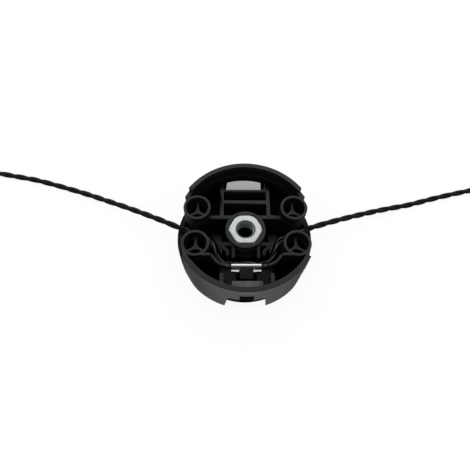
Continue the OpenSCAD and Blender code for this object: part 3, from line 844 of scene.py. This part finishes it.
def refit(shape):
    """Moves what the photograph shows off the solid: bosses, mouths, side walls, stubs, guides."""
    for vertex in shape.verts:
        x, y, z = vertex.co
        from_axis_now = math.hypot(x, y)
        out = Vector((abs(x) - SOCKET_AT[0], abs(y) - SOCKET_AT[1]))
        if y < 0 and out.length < BOSS_RADIUS + NEAR:
            vertex.co.x += side_of(x) * FRONT_BOSS_SHIFT
        if z > BOSS_TOP - NEAR and abs(out.length - SOCKET_RADIUS) < NEAR:
            grown = out * (SOCKET_MOUTH / SOCKET_RADIUS - 1)
            vertex.co.x += side_of(x) * grown.x
            vertex.co.y += side_of(y) * grown.y
        if abs(z - SIDE_WALL_TOP) < NEAR and from_axis_now > WALL_FROM:
            vertex.co.z = SILL_TOP
        if abs(z - STUB_TOP) < NEAR and from_axis_now > WALL_FROM and y < 0:
            vertex.co.z = BOSS_TOP
        if abs(z - GUIDE_TOP) < NEAR and abs(x) > GUIDE_FROM_X and y < GUIDE_BEHIND_Y:
            vertex.co.z = GUIDE_FOOT
        if z < SIDE_WALL_TOP + NEAR and from_axis_now > OUTER_FACE_FROM and y < 0:
            pulled = 1 - drawn_in(math.atan2(-y, abs(x))) / from_axis_now
            vertex.co.x *= pulled
            vertex.co.y *= pulled
        if abs(y - TONGUE_END) < NEAR and abs(x) < TONGUE_HALF:
            vertex.co.y += TONGUE_CUT_BACK
        if abs(from_axis_now - POCKET_CORNER) < NEAR and z > HUB_TOP_OVER:
            vertex.co.x *= POCKET_OPENS
            vertex.co.y *= POCKET_OPENS


def add_prism(shape, outline, foot, tops):
    """An upright prism on the outline, with its own height at each corner; closed below and at the sides,
    with the top left open.
    """
    low = [shape.verts.new((x, y, foot)) for x, y in outline]
    high = [shape.verts.new((x, y, top)) for (x, y), top in zip(outline, tops)]
    count = len(outline)
    shape.faces.new(low[::-1])
    for k in range(count):
        n = (k + 1) % count
        shape.faces.new((low[k], low[n], high[n], high[k]))
    return high


def add_guide(shape, side):
    """The outer run of one guide wall: level with the boss, then down to the clip's wall."""
    run = curve_points([(side * x, y, z) for x, y, z in GUIDE_RUN], GUIDE_STEPS)
    left, right = [], []
    last = len(run) - 1
    for i, spot in enumerate(run):
        along = (run[min(i + 1, last)] - run[max(i - 1, 0)]).xy.normalized()
        across = Vector((-along.y, along.x)) * GUIDE_HALF
        left.append((spot.xy + across, spot.z))
        right.append((spot.xy - across, spot.z))
    border = left + right[::-1]
    high = add_prism(shape, [place for place, _ in border], GUIDE_FOOT, [top for _, top in border])
    for i in range(last):
        shape.faces.new((high[i], high[i + 1], high[-i - 2], high[-i - 1]))


def add_spokes(shape, centre):
    """Three spokes of one socket, filled out where they meet."""
    corners = []
    for turn in SPOKE_TURNS:
        arm = Vector((math.cos(math.radians(turn)), math.sin(math.radians(turn))))
        across = Vector((-arm.y, arm.x)) * SPOKE_HALF
        between_arms = math.radians(turn + 60)
        corners += [arm * SPOKE_ROOT - across, arm * SPOKE_END - across, arm * SPOKE_END + across,
                    arm * SPOKE_ROOT + across,
                    Vector((math.cos(between_arms), math.sin(between_arms))) * SPOKE_FILLET]
    outline = [corner + Vector(centre) for corner in corners]
    high = add_prism(shape, outline, GUIDE_FOOT, [SPOKE_LEVEL] * len(outline))
    shape.faces.new(high)


def housing_piece(material):
    """The moulding itself: the CAD solid, merged, with the tool's small radius on its edges."""
    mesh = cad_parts["housing"].data.copy()
    shape = bmesh.new()
    shape.from_mesh(mesh)
    bmesh.ops.remove_doubles(shape, verts=shape.verts, dist=1e-6)
    refit(shape)
    kept = {v for v in shape.verts if in_socket(v)}
    bmesh.ops.dissolve_limit(shape, angle_limit=FLAT_WITHIN, verts=[v for v in shape.verts if v not in kept],
                             edges=[e for e in shape.edges if not kept.intersection(e.verts)])
    for side in (-1, 1):
        add_guide(shape, side)
        for end in (-1, 1):
            add_spokes(shape, socket_centre(side, end))
    bmesh.ops.recalc_face_normals(shape, faces=shape.faces)
    weight = shape.edges.layers.float.new("bevel_weight_edge")
    roomy = {v: min(e.calc_length() for e in v.link_edges) > EDGE_SHORT for v in shape.verts}
    for edge in shape.edges:
        free = all(roomy[v] and not in_socket(v) for v in edge.verts)
        edge[weight] = float(free and edge.calc_face_angle(0) > EDGE_SHARP)
    shape.to_mesh(mesh)
    shape.free()
    mesh.materials.clear()
    mesh.materials.append(material)
    block = bpy.data.objects.new("housing_block", mesh)
    scene.collection.objects.link(block)
    soften = block.modifiers.new("tool_radius", "BEVEL")
    soften.width = EDGE_RADIUS
    soften.segments = 2
    soften.limit_method = "WEIGHT"
    soften.use_clamp_overlap = False
    piece = baked(block, "housing_moulding")
    smooth_by_angle(piece, 34)
    level = piece.modifiers.new("level_faces", "WEIGHTED_NORMAL")
    level.keep_sharp = True
    level.weight = 60
    piece = baked(piece, "housing_moulded")
    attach(piece, "root")
    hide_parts("housing")


# The stage and its light

FLOOR_GLOW = 0.85
FLOOR_WHITE = 1.03
FLOOR_EDGE = 0.1
# Painted shadow: the card's colour under and round the housing's foot.
FOOT_SHADOW_TONE = 0.5
MIRRORED_FRONT = 0.77
MIRRORED_SIDES = 0.28
MIRRORED_FROM_Y = -30 * MM
MIRRORED_TO_Y = -50 * MM
FOOT_ROUND = (40 * MM, 40 * MM)
FLOOR_SIZE = 3.0
FOOT_SHADE = (36 * MM, 43 * MM)
FOOT_SHADE_Y = 12 * MM
TENT_STRENGTH = 1.5
TENT = [(0.0, 0.02), (0.25, 0.04), (0.50, 0.12), (0.655, 0.36), (0.72, 0.55), (0.785, 0.58),
        (0.87, 0.85), (1.0, 0.85)]
AMBIENT = 1.0


def stage():
    half = FLOOR_SIZE / 2
    floor = mesh_object("table_card", [(-half, -half, 0), (half, -half, 0), (half, half, 0),
                                       (-half, half, 0)], [(0, 1, 2, 3)])
    floor.location.z = -0.00002
    floor.data.materials.append(pale_floor())
    studio_world()


def studio_world():
    """Even soft light, and in reflections a tent that is bright behind and dark in front."""
    world = bpy.data.worlds.new("studio")
    scene.world = world
    world.use_nodes = True
    tree = world.node_tree
    back = tree.nodes["Background"]
    parts = add(tree, "ShaderNodeSeparateXYZ")
    join(tree, add(tree, "ShaderNodeTexCoord").outputs["Generated"], parts.inputs[0])
    depth = sums(tree, "MULTIPLY_ADD", parts.outputs["Y"], 0.5, 0.5)
    join(tree, ramp(tree, depth, TENT), back.inputs["Color"])
    back.inputs["Strength"].default_value = TENT_STRENGTH
    even = add(tree, "ShaderNodeBackground", values={"Color": (1, 1, 1, 1), "Strength": AMBIENT})
    mix = add(tree, "ShaderNodeMixShader")
    join(tree, add(tree, "ShaderNodeLightPath").outputs["Is Glossy Ray"], mix.inputs["Fac"])
    join(tree, even.outputs["Background"], mix.inputs[1])
    join(tree, back.outputs["Background"], mix.inputs[2])
    out = next(n for n in tree.nodes if n.bl_idname == "ShaderNodeOutputWorld")
    join(tree, mix.outputs["Shader"], out.inputs["Surface"])


place_camera()
cutting_line(black_nylon())
nut_piece(zinc_plate())
clip_piece(bright_sheet())
housing_piece(black_plastic())
stage()
